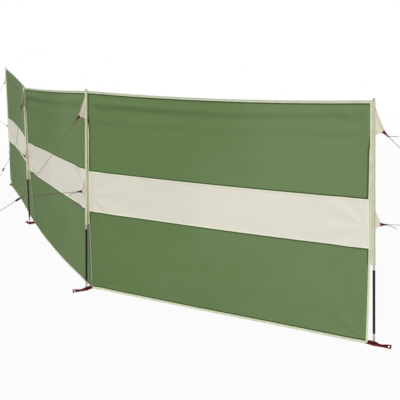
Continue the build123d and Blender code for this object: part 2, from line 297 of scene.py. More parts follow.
# The wall's shape
# Four poles stand two metres apart along three headings and lean a little. The strip of cloth runs from
# seam to seam beside them, bows out or in at its foot, middle and top, and sags along its top. Creases fan
# out from the pulls at each pole, which are listed a bay as their share of the height and their depth.
bay_length = 2.0
bay_headings = (180.0, 142.3, 137.5)
wall_height = 1.4
pole_top_drops = (0.010, 0.0, 0.072, -0.065)
pole_drop_powers = (1, 1, 1, 4)
pole_leans = ((-0.044, -0.006), (0.036, 0.024), (0.010, -0.004), (-0.002, 0.004))
ground_clearance = 0.0023
top_sags = (0.022, 0.009, 0.008)
bows = ((0.0, 0.018, 0.0), (0.028, 0.006, 0.0), (-0.010, -0.028, -0.021))
seam_offset_tops, seam_offset_feet = (0.009, 0.012, 0.012, 0.009), (0.037, 0.050, 0.050, 0.037)
pulls = (((0.87, 0.0018), (0.49, 0.0028), (0.0, 0.0026), (1.0, 0.0022)),
         ((0.87, 0.0026), (0.49, 0.0062), (0.0, 0.0026), (1.0, 0.0030)),
         ((0.87, 0.0026), (0.49, 0.0040), (0.0, 0.0026), (1.0, 0.0030)))
crease_reach = 0.17
ripple_length, ripple_depth, ripple_fade, ripple_start = 0.11, 0.016, 0.17, 0.03
slow_waves, slow_depth, fold_seed = 12, 0.0009, 31
pole_ramp = 0.05
pocket_foot = 0.338
lap_shares = (pocket_foot, 0.62, 0.80, 0.85, 0.89, 1.0)
end_laps, middle_laps = (0.006, 0.017, 0.014, 0.004, 0.0, 0.0), (0.001, 0.006, 0.011, 0.003, 0.0, 0.0)
bays = range(3)
upright = np.array([0.0, 0.0, 1.0])


def unit(vectors):
    """The same directions at length one."""
    return vectors / np.linalg.norm(vectors, axis=-1, keepdims=True)


def heading(angle):
    """A level unit vector at a plan angle in degrees."""
    return np.array([cos(radians(angle)), sin(radians(angle)), 0.0])


along = [heading(angle) for angle in bay_headings]
outward = [heading(angle + 90) for angle in bay_headings]
feet = np.cumsum([np.zeros(3)] + [direction * bay_length for direction in along], axis=0)
seams = [along[0], *(unit(along[n + 1] - along[n]) for n in range(2)), -along[2]]
tops = wall_height - np.array(pole_top_drops)


def pole_point(pole, height):
    """The foot, plus the pole's lean in proportion to the height, plus the height."""
    lean = np.array([*pole_leans[pole], wall_height]) / wall_height
    return feet[pole] + np.asarray(height)[..., None] * lean


def cloth_height(pole, v):
    """The height at a pole of the share v of the cloth. All of the pole's drop is reached at the top."""
    drop = pole_top_drops[pole] * v ** pole_drop_powers[pole]
    return ground_clearance + v * (wall_height - ground_clearance) - drop


def seam_offset(pole, v):
    """The seam's distance from the pole: its value at the top, and more towards the foot with (1 - v)^2."""
    top, foot = seam_offset_tops[pole], seam_offset_feet[pole]
    return top + (foot - top) * (1 - v) ** 2


def seam_point(pole, v):
    """The pole's axis at the share v of the cloth's height, moved sideways by the seam's offset."""
    return pole_point(pole, cloth_height(pole, v)) + seams[pole] * seam_offset(pole, v)[..., None]


def folds(bay, u, v):
    """How far wrinkles lift the cloth: long ripples under the top hem that fade as exp(-(d/d0)^2), creases
    that fan out from each pull as (r/r0) exp(1 - r/r0) sin(n angle), and a sum of slow waves with seeded
    directions, all times a ramp that is 0 at the poles."""
    random = np.random.default_rng(fold_seed + bay)
    x, y = u * bay_length, v * wall_height
    below = wall_height - y
    drift = 0.4 * np.sin(1.6 * x + 2.0 + bay) + 0.2 * np.sin(4.3 * x + 1.0)
    ripples = np.sin(2 * pi * below / ripple_length - 2.5 + drift) * (0.75 + 0.25 * np.sin(2.4 * x + 4.0))
    fade = np.exp(-((below / ripple_fade) ** 2)) * (1 - np.exp(-((below / ripple_start) ** 2)))
    lift = ripple_depth * fade * ripples
    for side_x in (x, bay_length - x):
        for pull_height, crease_height in pulls[bay]:
            rise = y - pull_height * wall_height
            distance = np.hypot(side_x, rise) / crease_reach
            angle = np.arctan2(rise, side_x + 1e-6)
            count, phase = random.uniform(7, 12), random.uniform(0, 2 * pi)
            lift = lift + crease_height * distance * np.exp(1 - distance) * np.sin(count * angle + phase)
    for _ in range(slow_waves):
        across, upward, phase = random.normal(0, 3.2), random.normal(0, 10.0), random.uniform(0, 2 * pi)
        lift = lift + slow_depth * np.sin(across * x + upward * y + phase)
    from_pole = np.minimum(x, bay_length - x) / pole_ramp
    return lift * (1 - np.exp(-(from_pole**2)))


def bow(bay, v):
    """How far the middle of a bay bows outwards: a parabola through its bows at foot, middle and top."""
    foot, middle, top = bows[bay]
    return foot * (1 - v) * (1 - 2 * v) + middle * 4 * v * (1 - v) + top * v * (2 * v - 1)


def cloth_point(bay, u, v):
    """A straight line between the two seams at share v, bowed outwards by 4u(1-u) times the bow, sunk along
    the top by 4u(1-u) v^3, and lifted outwards by the folds."""
    start, end = seam_point(bay, v), seam_point(bay + 1, v)
    arch = 4 * u * (1 - u)
    out = bow(bay, v) * arch + folds(bay, u, v)
    sag = top_sags[bay] * arch * v**3
    return start + (end - start) * u[..., None] + outward[bay] * out[..., None] - upright * sag[..., None]


def lifted(bay, u, v, lift):
    """A point of the cloth moved outwards along its normal, the cross product of small steps in v and u."""
    step_u, step_v = 0.002, 0.003
    along_u = cloth_point(bay, u + step_u, v) - cloth_point(bay, u - step_u, v)
    along_v = cloth_point(bay, u, v + step_v) - cloth_point(bay, u, v - step_v)
    return cloth_point(bay, u, v) + unit(np.cross(along_v, along_u)) * np.asarray(lift)[..., None]


def pocket_lap(pole, v):
    """How far a pole's pocket laps over the cloth past the seam: nothing at the flap, most below it."""
    laps = end_laps if pole in end_poles else middle_laps
    return np.interp(v, lap_shares, laps) * (v >= pocket_foot)


# Cloth
# Woven polyester, dyed green, with a cream band let in between two sewn seams. Each bay has three panels.
# The cloth is doubled along every seam, which shows as a paler line in the band. The darker line in the
# green is partly the doubled cloth and partly painted shade, and beside the pockets' laps it is painted
# shade.
hem_width = 0.016
binding_width = 0.011
band_bottom, band_top = 0.4065, 0.604
seam_width = 0.009
cloth_half, seam_half = 0.00045, 0.0011
panel_columns, row_step = 200, 0.011
panel_end, panel_under_tape = 0.0004, 0.003
cloth_weave, edge_margin, seam_step = 0.0012, 0.001, 0.0005
grey_weave, cream_weave = (0.5, 0.5, 0.5, 1.0), (0.5, 0.5, 0.48, 1.0)


class Shape:
    """A closed surface of quads. It is turned so that its faces point outwards, by its signed volume."""

    def __init__(self, points, quads, places):
        a, b, c, d = (points[quads[:, k]] for k in range(4))
        volume = (np.cross(a, b) * c).sum() + (np.cross(a, c) * d).sum()
        turn = slice(None, None, -1 if volume < 0 else 1)
        self.points, self.quads, self.places = points, quads[:, turn], places[:, turn]


def quads_of(rows, columns, closed_rows=False, closed_columns=False):
    """The quads of a grid, as point numbers, and each corner's row and column before they wrap round."""
    spans = np.arange(rows - 1 + closed_rows), np.arange(columns - 1 + closed_columns)
    row, column = (number.ravel() for number in np.meshgrid(*spans, indexing="ij"))
    rows_at = np.stack([row, row, row + 1, row + 1], 1)
    columns_at = np.stack([column, column + 1, column + 1, column], 1)
    return rows_at % rows * columns + columns_at % columns, rows_at, columns_at


def capped(rings, places):
    """A closed shape from rings of points, (n, m, 3) with m even. Quads join each ring to the next, and
    quads across the first and the last ring close the ends. places is (n, m + 1, 2), in metres."""
    count, size = rings.shape[:2]
    quads, rows_at, columns_at = quads_of(count, size, closed_columns=True)
    j = np.arange(size // 2 - 1)
    cap = np.stack([j, j + 1, size - 2 - j, size - 1 - j], 1)
    ends = np.concatenate([places[0][cap], places[-1][cap]])
    quads = np.concatenate([quads, cap[:, ::-1], cap + (count - 1) * size])
    ends[: len(cap)] = ends[: len(cap), ::-1]
    return Shape(rings.reshape(-1, 3), quads, np.concatenate([places[rows_at, columns_at], ends]))


def add_piece(name, shapes, material, replaces=(), edge=None):
    """A mesh object from closed shapes, which rides on the root body and stands for the nodes it replaces.
    edge, if any, is each point's distance from an edge, in metres."""
    starts = np.cumsum([0] + [len(shape.points) for shape in shapes])
    points = np.concatenate([shape.points for shape in shapes])
    quads = np.concatenate([shape.quads + start for shape, start in zip(shapes, starts)])
    places = np.concatenate([shape.places for shape in shapes])
    mesh = bpy.data.meshes.new(name)
    mesh.from_pydata(points.tolist(), [], quads.tolist())
    mesh.uv_layers.new(name="cloth").data.foreach_set("uv", places.astype(np.float32).ravel())
    if edge is not None:
        mesh.attributes.new("edge", "FLOAT", "POINT").data.foreach_set("value", edge.astype(np.float32))
    mesh.polygons.foreach_set("use_smooth", np.ones(len(quads), bool))
    mesh.set_sharp_from_angle(angle=radians(50))
    mesh.materials.append(material)
    piece = bpy.data.objects.new(name, mesh)
    scene.collection.objects.link(piece)
    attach(piece, "root")
    if replaces:
        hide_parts(*replaces)
    return piece


def weave_height(nodes, place, pitch):
    """The height of a plain weave: threads that pass over and under each other, one a pitch."""
    warp, weft = (nodes.axis(place, name).wave(pitch) for name in ("X", "Y"))
    return warp.math("MAXIMUM", weft)


def cloth_finish(name, dark, light, seam_and_shade_colour, edge_share, edge_width):
    """Woven polyester: two shades in slow clouds, with painted shade that darkens them along a bay, a fine
    weave, faint packing creases, and another colour within a width of the edges, for a doubled seam or hem,
    which where it is dark is also painted shade beside the seam and along the pockets' laps."""
    material, nodes, place = finish(name, sewn=True)
    edge = nodes.add("Attribute", {"attribute_name": "edge"}, (), "Fac")
    weave = weave_height(nodes, place, cloth_weave)
    # painted shade: the cloth is painted darker from the start of each bay to its end, standing in for
    # shading
    start = 1 - nodes.axis(place, "X").ramp(0.0, bay_length)
    clouds = nodes.noise(place, 1.1, 1.0) * 0.5 + nodes.noise(place, 9.0, 2.0) * 0.15 + start * 0.35
    creases = nodes.noise(nodes.stretched(place, (5.0, 14.0, 1.0)), 1.0, 6.0)
    colour = nodes.mix(clouds.ramp(0.36, 0.64), dark, light)
    colour = nodes.mix(weave * 0.10, colour, grey_weave, "MULTIPLY")
    # near the edges the colour changes: on the green a dark line that is partly the doubled seam and partly
    # painted shade beside the seams and the pockets' laps
    colour = nodes.mix((1 - edge.ramp(edge_width * 0.7, edge_width)) * edge_share, colour, seam_and_shade_colour)
    height = weave * 0.12 + creases
    return close(material, nodes, colour, 0.70 + 0.12 * clouds, height, 0.0022, Specular_IOR_Level=0.06)


green = cloth_finish(
    "green_cloth", paint(97, 120, 77), paint(107, 128, 87), paint(64, 80, 46), 0.85, 0.014)
cream = cloth_finish(
    "cream_cloth", paint(212, 208, 195), paint(219, 215, 203), paint(222, 226, 202), 0.85, seam_width)


def row_shares(low, high):
    """Shares of the wall's height from low to high: close rows at the seams, even rows between."""
    close_rows = np.array([0.0, 0.0006, seam_width - 0.001, seam_width]) / wall_height
    count = max(2, round((high - low) * wall_height / row_step))
    between = np.linspace(low + close_rows[-1], high - close_rows[-1], count)[1:-1]
    return np.concatenate([low + close_rows, between, high - close_rows[::-1]])


def cloth_strip(bay, u, v, lift):
    """A closed shape that follows a bay's cloth: rings of points at shares u and v, each with its lift."""
    rings = lifted(bay, u, v, np.broadcast_to(lift, u.shape))
    places = np.stack([u * bay_length, v * wall_height], -1)
    return capped(rings, np.concatenate([places, places[:, :1]], 1))


def panel(bay, name, low, high, seam_half_thickness, material):
    """A cloth panel: its front and back lie half its thickness either side of the cloth's surface, and
    the thickness grows where the cloth is doubled along the seams. The edge distance is to the seams and
    to the pockets' laps."""
    ends = [panel_end / bay_length, 1 - panel_end / bay_length]
    if bay == bays[0]:
        ends[0] = (binding_width - panel_under_tape) / bay_length
    if bay == bays[-1]:
        ends[1] = 1 - (binding_width - panel_under_tape) / bay_length
    v = row_shares(low, high)
    u = np.linspace(*ends, panel_columns)
    inset = np.minimum(v - low, high - v) * wall_height
    half = np.where(inset < seam_width - seam_step, seam_half_thickness, cloth_half)
    v_ring, half_ring = np.concatenate([v, v[::-1]]), np.concatenate([half, -half[::-1]])
    u_grid, v_grid = np.meshgrid(u, v_ring, indexing="ij")
    plain = 1.0 * (v_grid < pocket_foot)
    from_start = u_grid * bay_length - pocket_lap(bay, v_grid) + (plain if bay > bays[0] else 0)
    from_end = (1 - u_grid) * bay_length - pocket_lap(bay + 1, v_grid) + (plain if bay < bays[-1] else 0)
    # the distance to a pocket's lap lets the painted shade line run beside the lap
    edge = np.minimum(np.minimum(from_start, from_end) + edge_margin, np.concatenate([inset, inset[::-1]]))
    label = f"bay_{bay + 1}_{name}"
    shape = cloth_strip(bay, u_grid, v_grid, half_ring)
    return add_piece(f"{label}_panel", [shape], material, [f"{label}_cloth"], edge.ravel())


hem_share, under = hem_width / wall_height, panel_under_tape / wall_height
for bay in bays:
    panel(bay, "lower", hem_share - under, band_bottom, cloth_half, green)
    panel(bay, "band", band_bottom - under, band_top + under, seam_half, cream)
    panel(bay, "upper", band_top, 1 - hem_share + under, cloth_half, green)


# Hems and bindings
# A cream tape is folded over the top, the bottom and the two ends of the strip and sewn down, so it
# stands a little proud of the cloth on both sides.
def tape_finish():
    """Folded cotton tape: fine ribs across it, greenish where the cloth shows through, with painted shade
    greying its top edge, where the fold turns over."""
    material, nodes, place = finish("binding_tape", sewn=True)
    weave = weave_height(nodes, place, 0.0016)
    clouds = nodes.noise(place, 30.0, 3.0)
    # painted shade: the top few millimetres of the tape are painted greyer, as the fold's shaded side
    painted_fold_shade = nodes.axis(place, "Y").ramp(wall_height - 0.009, wall_height - 0.006)
    colour = nodes.mix(clouds.ramp(0.35, 0.65), paint(203, 209, 180), paint(214, 219, 192))
    colour = nodes.mix(painted_fold_shade * 0.8, colour, paint(176, 179, 160))
    colour = nodes.mix(weave * 0.15, colour, cream_weave, "MULTIPLY")
    return close(material, nodes, colour, 0.72 + 0.1 * clouds, weave * 0.5 + clouds * 0.5, 0.0006,
                 Specular_IOR_Level=0.15)


tape = tape_finish()
hem_half, hem_ring = 0.0013, 12
hem_gap = 0.0004


def ring_of(half_width, half_thickness, count, power=2.0):
    """A superellipse, |x/a|^p + |y/b|^p = 1, as offsets (x, y) round its centre."""
    turn = np.linspace(0, 2 * pi, count, endpoint=False) + pi / count
    x, y = (np.sign(part) * np.abs(part) ** (2 / power) for part in (np.cos(turn), np.sin(turn)))
    return half_width * x, half_thickness * y


def tape_along(bay, u, v, half_width, upright_tape=False):
    """A flat tube along a line (u, v) of the cloth: a rounded section across the line and the normal."""
    across, lift = ring_of(half_width, hem_half, hem_ring, 3.0)
    u_grid, v_grid = u[:, None] + 0 * across, v[:, None] + 0 * across
    if upright_tape:
        u_grid = u_grid + across / bay_length
    else:
        v_grid = v_grid + across / wall_height
    return cloth_strip(bay, u_grid, v_grid, lift)


def hem_at(share):
    """The three bays' tapes along the strip at one share of its height."""
    u = np.linspace(hem_gap, 1 - hem_gap, panel_columns)
    return [tape_along(bay, u, np.full_like(u, share), hem_width / 2) for bay in bays]


add_piece("top_hem_tape", hem_at(1 - hem_share / 2), tape, ["top_hems"])
add_piece("bottom_hem_tape", hem_at(hem_share / 2), tape, ["bottom_hems"])
v_line = np.linspace(0.0, 1.0, 140)
for name, bay, share in (("right", bays[0], binding_width / 2 / bay_length),
                         ("left", bays[-1], 1 - binding_width / 2 / bay_length)):
    binding = tape_along(bay, np.full_like(v_line, share), v_line, binding_width / 2, upright_tape=True)
    add_piece(f"{name}_edge_tape", [binding], tape, [f"{name}_edge_binding"])


# Pole pockets
# Cream cloth folded round each pole and sewn to itself beside it and to the strip at the seam: a round
# tunnel with a flat web, wider towards the foot, that laps over the cloth below the upper flap. It ends a
# third of the way up, with an open mouth.
tunnel_radius, tunnel_wall = 0.0079, 0.0007
web_halves, lap_halves = (0.0016, 0.0008, 0.0008, 0.0016), (0.0016, 0.0, 0.0, 0.0016)
lap_front, lap_top, least_lap = 0.0016, 0.885, 0.0004
tunnel_stitch, web_left = 0.0150, 0.0015
seam_gap, bead_gap = 0.0002, 0.001
lining_reach, least_lining = 0.7, 0.0003
pocket_rows, pocket_ring, ring_pitch = 90, 44, 0.0022
nose_place = (pocket_ring - 1) / 2 * ring_pitch


def pocket_finish():
    """Doubled cream polyester, warmer than the band. Painted shade greys the tunnel along its nose, the
    side turned from the light, which is at one place across the UV on the end poles and nowhere on the
    others."""
    material, nodes, place = finish("pocket_cloth", sewn=True)
    weave = weave_height(nodes, place, cloth_weave)
    clouds = nodes.noise(place, 16.0, 4.0)
    puckers = nodes.noise(nodes.stretched(place, (60.0, 130.0, 1.0)), 1.0, 3.0)
    colour = nodes.mix(clouds.ramp(0.35, 0.65), paint(197, 196, 168), paint(208, 206, 180))
    colour = nodes.mix(weave * 0.12, colour, cream_weave, "MULTIPLY")
    # painted shade: the tunnel's nose is painted grey, as its side turned away from the light
    from_nose = (nodes.axis(place, "X") - nose_place).math("ABSOLUTE")
    colour = nodes.mix((1 - from_nose.ramp(0.008, 0.020)) * 0.9, colour, paint(162, 161, 148))
    return close(material, nodes, colour, 0.68 + 0.1 * clouds, weave * 0.15 + puckers, 0.0012,
                 Specular_IOR_Level=0.15)


pocket_cloth = pocket_finish()


def stitch_reach(reach):
    """The distance from the pole to the stitches that close the tunnel, for seam distances reach."""
    return np.minimum(tunnel_stitch, reach - web_left)


def section(reach, ring, web_half):
    """The pocket's outline for seam distances reach: half-thickness sqrt(R^2 - x^2) round the nose, falling
    as a cosine from R beside the pole to the web at the stitch line, then flat to the seam."""
    half = ring // 2
    share = 0.5 + 0.5 * np.cos(pi * (np.arange(half) + 0.5) / half)
    x = -tunnel_radius + (reach[:, None] + tunnel_radius) * share
    stitch = stitch_reach(reach)[:, None]
    nose = np.sqrt(np.maximum(tunnel_radius**2 - np.minimum(x, 0) ** 2, 0))
    fall = web_half + (tunnel_radius - web_half) * (0.5 + 0.5 * np.cos(pi * np.clip(x / stitch, 0, 1)))
    y = np.where(x < 0, nose, fall)
    return np.concatenate([x, x[:, ::-1]], 1), np.concatenate([y, -y[:, ::-1]], 1)


def seam_frame(pole):
    """The pole's axis, the direction square to it towards the seam, and the normal to both."""
    axis = unit(pole_point(pole, 1.0) - feet[pole])
    toward = unit(seams[pole] - axis * seams[pole].dot(axis))
    return axis, toward, np.cross(axis, toward)


def pocket(pole):
    """The outer outline carried up the pole and back down inside as the tunnel's lining."""
    share = np.linspace(pocket_foot, 1.0, pocket_rows)
    gap = seam_gap + (0 if pole in end_poles else bead_gap)
    reach = seam_offset(pole, share) - gap
    x, y = section(reach, pocket_ring, web_halves[pole])
    height = cloth_height(pole, share)
    slack = 0.0005 * np.sin(height * 61 + pole) + 0.0004 * np.sin(height * 137 + 2 * pole)
    y = y * (1 + slack[:, None] / tunnel_radius)
    inner_x = np.minimum(x, stitch_reach(reach)[:, None] * lining_reach)
    inner_x = np.maximum(inner_x, -tunnel_radius + tunnel_wall)
    inner_y = np.sign(y) * np.maximum(np.abs(y) - tunnel_wall, least_lining)
    _, toward, side = seam_frame(pole)
    centre = pole_point(pole, height)[:, None]
    outer = centre + toward * x[..., None] + side * y[..., None]
    inner = centre + toward * inner_x[..., None] + side * inner_y[..., None]
    rings = np.concatenate([outer, inner[::-1]])
    quads, rows_at, columns_at = quads_of(2 * pocket_rows, pocket_ring, True, True)
    heights = np.concatenate([height, height[::-1], height[:1]])
    # the inner poles' UV is moved on by one, so the painted nose shade falls on none of them
    across = columns_at * ring_pitch + (0 if pole in end_poles else 1)
    return Shape(rings.reshape(-1, 3), quads, np.stack([across, heights[rows_at]], -1))


def lap(pole, bay):
    """The pocket's cloth where it laps over a bay: a thin layer from the seam to the lap's edge."""
    share = np.linspace(pocket_foot, lap_top, pocket_rows)
    width = np.maximum(pocket_lap(pole, share), least_lap)
    across = np.array([0.0, 0.5, 0.97, 1.0, 1.0, 0.97, 0.5, 0.0])
    front, back = lap_front, -lap_halves[pole]
    lift = np.array([front, front, front, 0.3 * front, 0.3 * back, back, back, back])
    reach = width[:, None] * across / bay_length
    return cloth_strip(bay, reach if bay == pole else 1 - reach, share[:, None] + 0 * across, lift)


for pole in poles:
    name = f"pole_{pole + 1}_pocket"
    laps = [lap(pole, bay) for bay in bays if bay in (pole - 1, pole)]
    add_piece(f"{name}_cloth", [pocket(pole), *laps], pocket_cloth, [name])


# Tuck
# Beside pole 2 the green cloth is tucked under the pocket below the upper flap and held by its stitches,
# in a small pleat whose near-black colour is painted shadow.
tuck_low, tuck_high, tuck_half_width, tuck_lift = 0.836, 0.870, 0.0052, 0.0022
tuck_start, tuck_run, tuck_least = 0.013, 0.011, 0.0006


def tuck():
    """A slanting strip whose width grows and shrinks as sin(pi t), from the lap's edge to the seam."""
    t = np.linspace(0, 1, 14)
    across = np.array([-1.0, 0.0, 1.0, 1.0, 0.0, -1.0])
    lift = np.array([1.0, 1.0, 1.0, 0.2, 0.2, 0.2]) * tuck_lift
    half_width = (tuck_least + tuck_half_width * np.sin(pi * t))[:, None]
    reach = (tuck_start - tuck_run * t)[:, None] + across * half_width
    v = (tuck_low + (tuck_high - tuck_low) * t)[:, None] + 0 * across
    return cloth_strip(bays[0], 1 - reach / bay_length, v, lift)


# painted shadow: the pleat is painted near black, for the shadow in the fold
tuck_shadow_green = cloth_finish(
    "tuck_painted_shadow", paint(34, 48, 24), paint(42, 58, 30), paint(30, 42, 20), 0.5, 0.002)
add_piece("pole_2_painted_shadow_tuck", [tuck()], tuck_shadow_green)


# Seam beads
# A narrow bead of the pockets' cloth, sewn on from foot to top, covers the seam between two bays at each
# of the two middle poles.
bead_half, tube_ring = 0.0017, 12


def tube(path, reference, half_width, half_thickness, power=2.0, closed=False, start=0.0):
    """A superellipse section carried along a path. Its width lies along the reference crossed with the
    path, and its thickness along the reference, square to the path. Its run is counted from start."""
    ahead = np.roll(path, -1, 0) - np.roll(path, 1, 0) if closed else np.gradient(path, axis=0)
    tangent = unit(ahead)
    side = unit(np.cross(reference, tangent))
    lift = np.cross(tangent, side)
    x, y = ring_of(half_width, half_thickness, tube_ring, power)
    rings = path[:, None] + side[:, None] * x[:, None] + lift[:, None] * y[:, None]
    step = np.linalg.norm(np.diff(path, axis=0, append=path[:1] if closed else path[-1:]), axis=1)
    run = start + np.concatenate([[0], np.cumsum(step)])
    turn = np.linspace(0, 2 * pi * half_width, tube_ring + 1)
    if closed:
        quads, rows_at, columns_at = quads_of(len(path), tube_ring, True, True)
        return Shape(rings.reshape(-1, 3), quads, np.stack([run[rows_at], turn[columns_at]], -1))
    along_grid, turn_grid = np.meshgrid(run[:-1], turn, indexing="ij")
    return capped(rings, np.stack([along_grid, turn_grid], -1))


beads = [tube(seam_point(pole, v_line), seams[pole], bead_half, bead_half) for pole in (1, 2)]
add_piece("fold_seam_beads", beads, pocket_cloth)


# Stitching
# Pale thread through both sides of the cloth: one row along each hem and binding, two rows along each seam
# of the band, and a row beside each pole that closes the tunnel.
stitch_pitch, stitch_half = 0.008, 0.0027
thread_half = 0.00045
thread_depths = {"hem": 0.0018, "seam": 0.0015}
hem_stitch, seam_stitches = 0.0035, (-0.0015, 0.0045)
tunnel_top, lap_stitch_top, past_foot, lap_inset = 0.93, 0.80, 0.004, 0.0025
past_tunnel, web_depth, lap_depth = 0.0004, 0.0005, 0.0003


def thread_finish():
    """Twisted polyester thread, pale, with a faint spiral."""
    material, nodes, place = finish("thread")
    twist = nodes.noise(place, 900.0, 1.0)
    colour = nodes.mix(twist, paint(206, 205, 180), paint(226, 224, 204))
    return close(material, nodes, colour, 0.7, twist, 0.0002)


def stitches(centres, directions, normals, depth):
    """One tapered block a stitch: eight corners at plus and minus its half-length, half-width and depth."""
    sides = unit(np.cross(directions, normals))
    signs = np.array([(a, b, c) for a in (-1, 1) for b, c in ((-1, -1), (1, -1), (1, 1), (-1, 1))], float)
    offsets = (directions[:, None] * signs[:, :1] * stitch_half
               + sides[:, None] * signs[:, 1:2] * thread_half + normals[:, None] * signs[:, 2:] * depth)
    points = (centres[:, None] + offsets).reshape(-1, 3)
    block = np.array([(0, 1, 2, 3), (7, 6, 5, 4), (0, 4, 5, 1), (1, 5, 6, 2), (2, 6, 7, 3), (3, 7, 4, 0)])
    quads = (np.arange(len(centres))[:, None, None] * 8 + block).reshape(-1, 4)
    return Shape(points, quads, np.zeros((len(quads), 4, 2)))


def stitch_row(bay, u, v, depth):
    """Stitches along a line of the cloth, which is given at its ends and walked in steps of one pitch."""
    upwards = v[-1] != v[0]
    here = cloth_point(bay, u, v)
    ahead = cloth_point(bay, u + 1e-4 * (not upwards), v + 1e-4 * upwards)
    normals = unit(lifted(bay, u, v, np.ones_like(u)) - here)
    return stitches(here, unit(ahead - here), normals, depth)


def share_steps(low, high, length):
    """Shares from low to high, one a stitch along the length."""
    return np.arange(low * length + stitch_pitch / 2, high * length, stitch_pitch) / length


rows = []
along_u = share_steps(0.008, 0.992, bay_length)
hem_line = hem_share - hem_stitch / wall_height
lines = [(hem_line, "hem"), (1 - hem_line, "hem")]
for edge_share, inward in ((band_bottom, 1), (band_top, -1)):
    lines += [(edge_share + inward * offset / wall_height, "seam") for offset in seam_stitches]
for bay in bays:
    rows += [stitch_row(bay, along_u, np.full_like(along_u, share), thread_depths[kind])
             for share, kind in lines]
along_v = share_steps(0.004, pocket_foot, wall_height)
binding_share = (binding_width - panel_under_tape) / bay_length
for bay, share in ((bays[0], binding_share), (bays[-1], 1 - binding_share)):
    rows.append(stitch_row(bay, np.full_like(along_v, share), along_v, thread_depths["hem"]))
for pole in poles:
    share = share_steps(pocket_foot + past_foot, tunnel_top, wall_height)
    axis, toward, side = seam_frame(pole)
    reach = stitch_reach(seam_offset(pole, share)) + past_tunnel
    centres = pole_point(pole, cloth_height(pole, share)) + toward * reach[:, None]
    directions, sideways = (np.broadcast_to(way, centres.shape) for way in (axis, side))
    rows.append(stitches(centres, directions, sideways, web_halves[pole] + web_depth))
    share = share_steps(pocket_foot + past_foot, lap_stitch_top, wall_height)
    inset = (pocket_lap(pole, share) - lap_inset) / bay_length
    for bay in bays:
        if bay in (pole - 1, pole):
            rows.append(stitch_row(bay, inset if bay == pole else 1 - inset, share, lap_front + lap_depth))
add_piece("cloth_stitching", rows, thread_finish())


# Guy flaps
# Two cream flaps of doubled cloth a pole, rooted in the pocket's seam near the top and at half height.
# Their edges are hollow cut and hemmed, and each runs out to a tip square to the pull of its cord.
flap_shares = ((0.022, 0.121, 0.136), (0.433, 0.489, 0.511))
flap_reaches = (0.048, 0.034)
flap_tip_height, flap_hollow, flap_foot_hollow, flap_ripple = 0.020, 0.0015, 0.0035, 0.0018
flap_half, flap_hem_half, flap_hem = 0.00055, 0.0011, 0.0035
guy_headings = (-13.0, 251.0, 285.0, 155.0)
knot_reaches = (0.550, 0.470, 0.220, 0.750)
knot_heights = (0.785, 0.750, 0.790, 0.900)
flap_root = 0.0077
flap_columns, flap_rows = 26, 22
flap_cloth = cloth_finish(
    "flap_cloth", paint(206, 201, 180), paint(217, 212, 193), paint(184, 174, 148), 0.8, flap_hem)
flaps_of_pole = [(pole, n) for pole in poles for n in range(2)]


def guy_plane(pole):
    """A pole's guy plane: its outward direction, the pole's axis, and the normal to both."""
    axis = unit(pole_point(pole, 1.0) - feet[pole])
    normal = unit(np.cross(heading(guy_headings[pole]), axis))
    return np.cross(axis, normal), axis, normal


def knot_point(pole):
    """The knot, put into the guy plane."""
    out, axis, _ = guy_plane(pole)
    away = heading(guy_headings[pole]) * knot_reaches[pole] + upright * knot_heights[pole]
    return feet[pole] + out * away.dot(out) + axis * away.dot(axis)


def flap_tip(pole, n):
    """The middle of a flap's tip and the unit direction of the pull from it to the knot."""
    out, axis, _ = guy_plane(pole)
    tip = feet[pole] + out * (flap_root + flap_reaches[n]) + axis * tops[pole] * (1 - flap_shares[n][1])
    return tip, unit(knot_point(pole) - tip)


def bent(start, middle, end, share):
    """A parabola from start to end that passes through middle at half way."""
    control = 2 * middle - (start + end) / 2
    a, b, c = (1 - share) ** 2, 2 * share * (1 - share), share**2
    return start * a[:, None] + control * b[:, None] + end * c[:, None]


def flap(pole, n):
    """Straight lines between the lower and the upper edge, both parabolas, with a shallow ripple along the
    normal, and a thickness that grows within the hem's width of the edges. Returns each point's distance
    from the flap's edges too."""
    out, axis, normal = guy_plane(pole)
    tip, pull = flap_tip(pole, n)
    half_tip = np.cross(normal, pull) * flap_tip_height / 2
    half_tip = half_tip * np.sign(half_tip.dot(axis))
    root = feet[pole] + out * flap_root
    top, foot = (root + axis * tops[pole] * (1 - share) for share in flap_shares[n][::2])
    high, low = tip + half_tip, tip - half_tip
    s = np.linspace(0, 1, flap_columns)
    upper = bent(top, (top + high) / 2 - (out + axis) * flap_hollow, high, s)
    lower = bent(foot, (foot + low) / 2 + axis * flap_foot_hollow, low, s)
    w = np.linspace(0, 1, flap_rows)
    width = np.linalg.norm(upper - lower, axis=1)
    edge = np.minimum(np.minimum(w, 1 - w)[None] * width[:, None], (1 - s[:, None]) * flap_reaches[n])
    half = np.where(edge < flap_hem, flap_hem_half, flap_half)
    middle = lower[:, None] + (upper - lower)[:, None] * w[:, None]
    phase = 2.2 * pi * w[None] + 3 * s[:, None] + pole + 2 * n
    ripple = flap_ripple * np.sin(pi * s)[:, None] * np.sin(phase)
    front, back = (middle + normal * (ripple + sign * half)[..., None] for sign in (1, -1))
    rings = np.concatenate([front, back[:, ::-1]], 1)
    across = np.concatenate([w, w[::-1], w[:1]])
    places = np.stack([np.broadcast_to(s[:, None] * flap_reaches[n], (flap_columns, len(across))),
                       across * width[:, None]], -1)
    return capped(rings, places), np.concatenate([edge, edge[:, ::-1]], 1).ravel()


for pole in poles:
    shapes, edges = zip(*(flap(pole, n) for n in range(2)))
    name = f"pole_{pole + 1}_guy_flaps"
    add_piece(f"{name}_cloth", shapes, flap_cloth, [name], np.concatenate(edges))


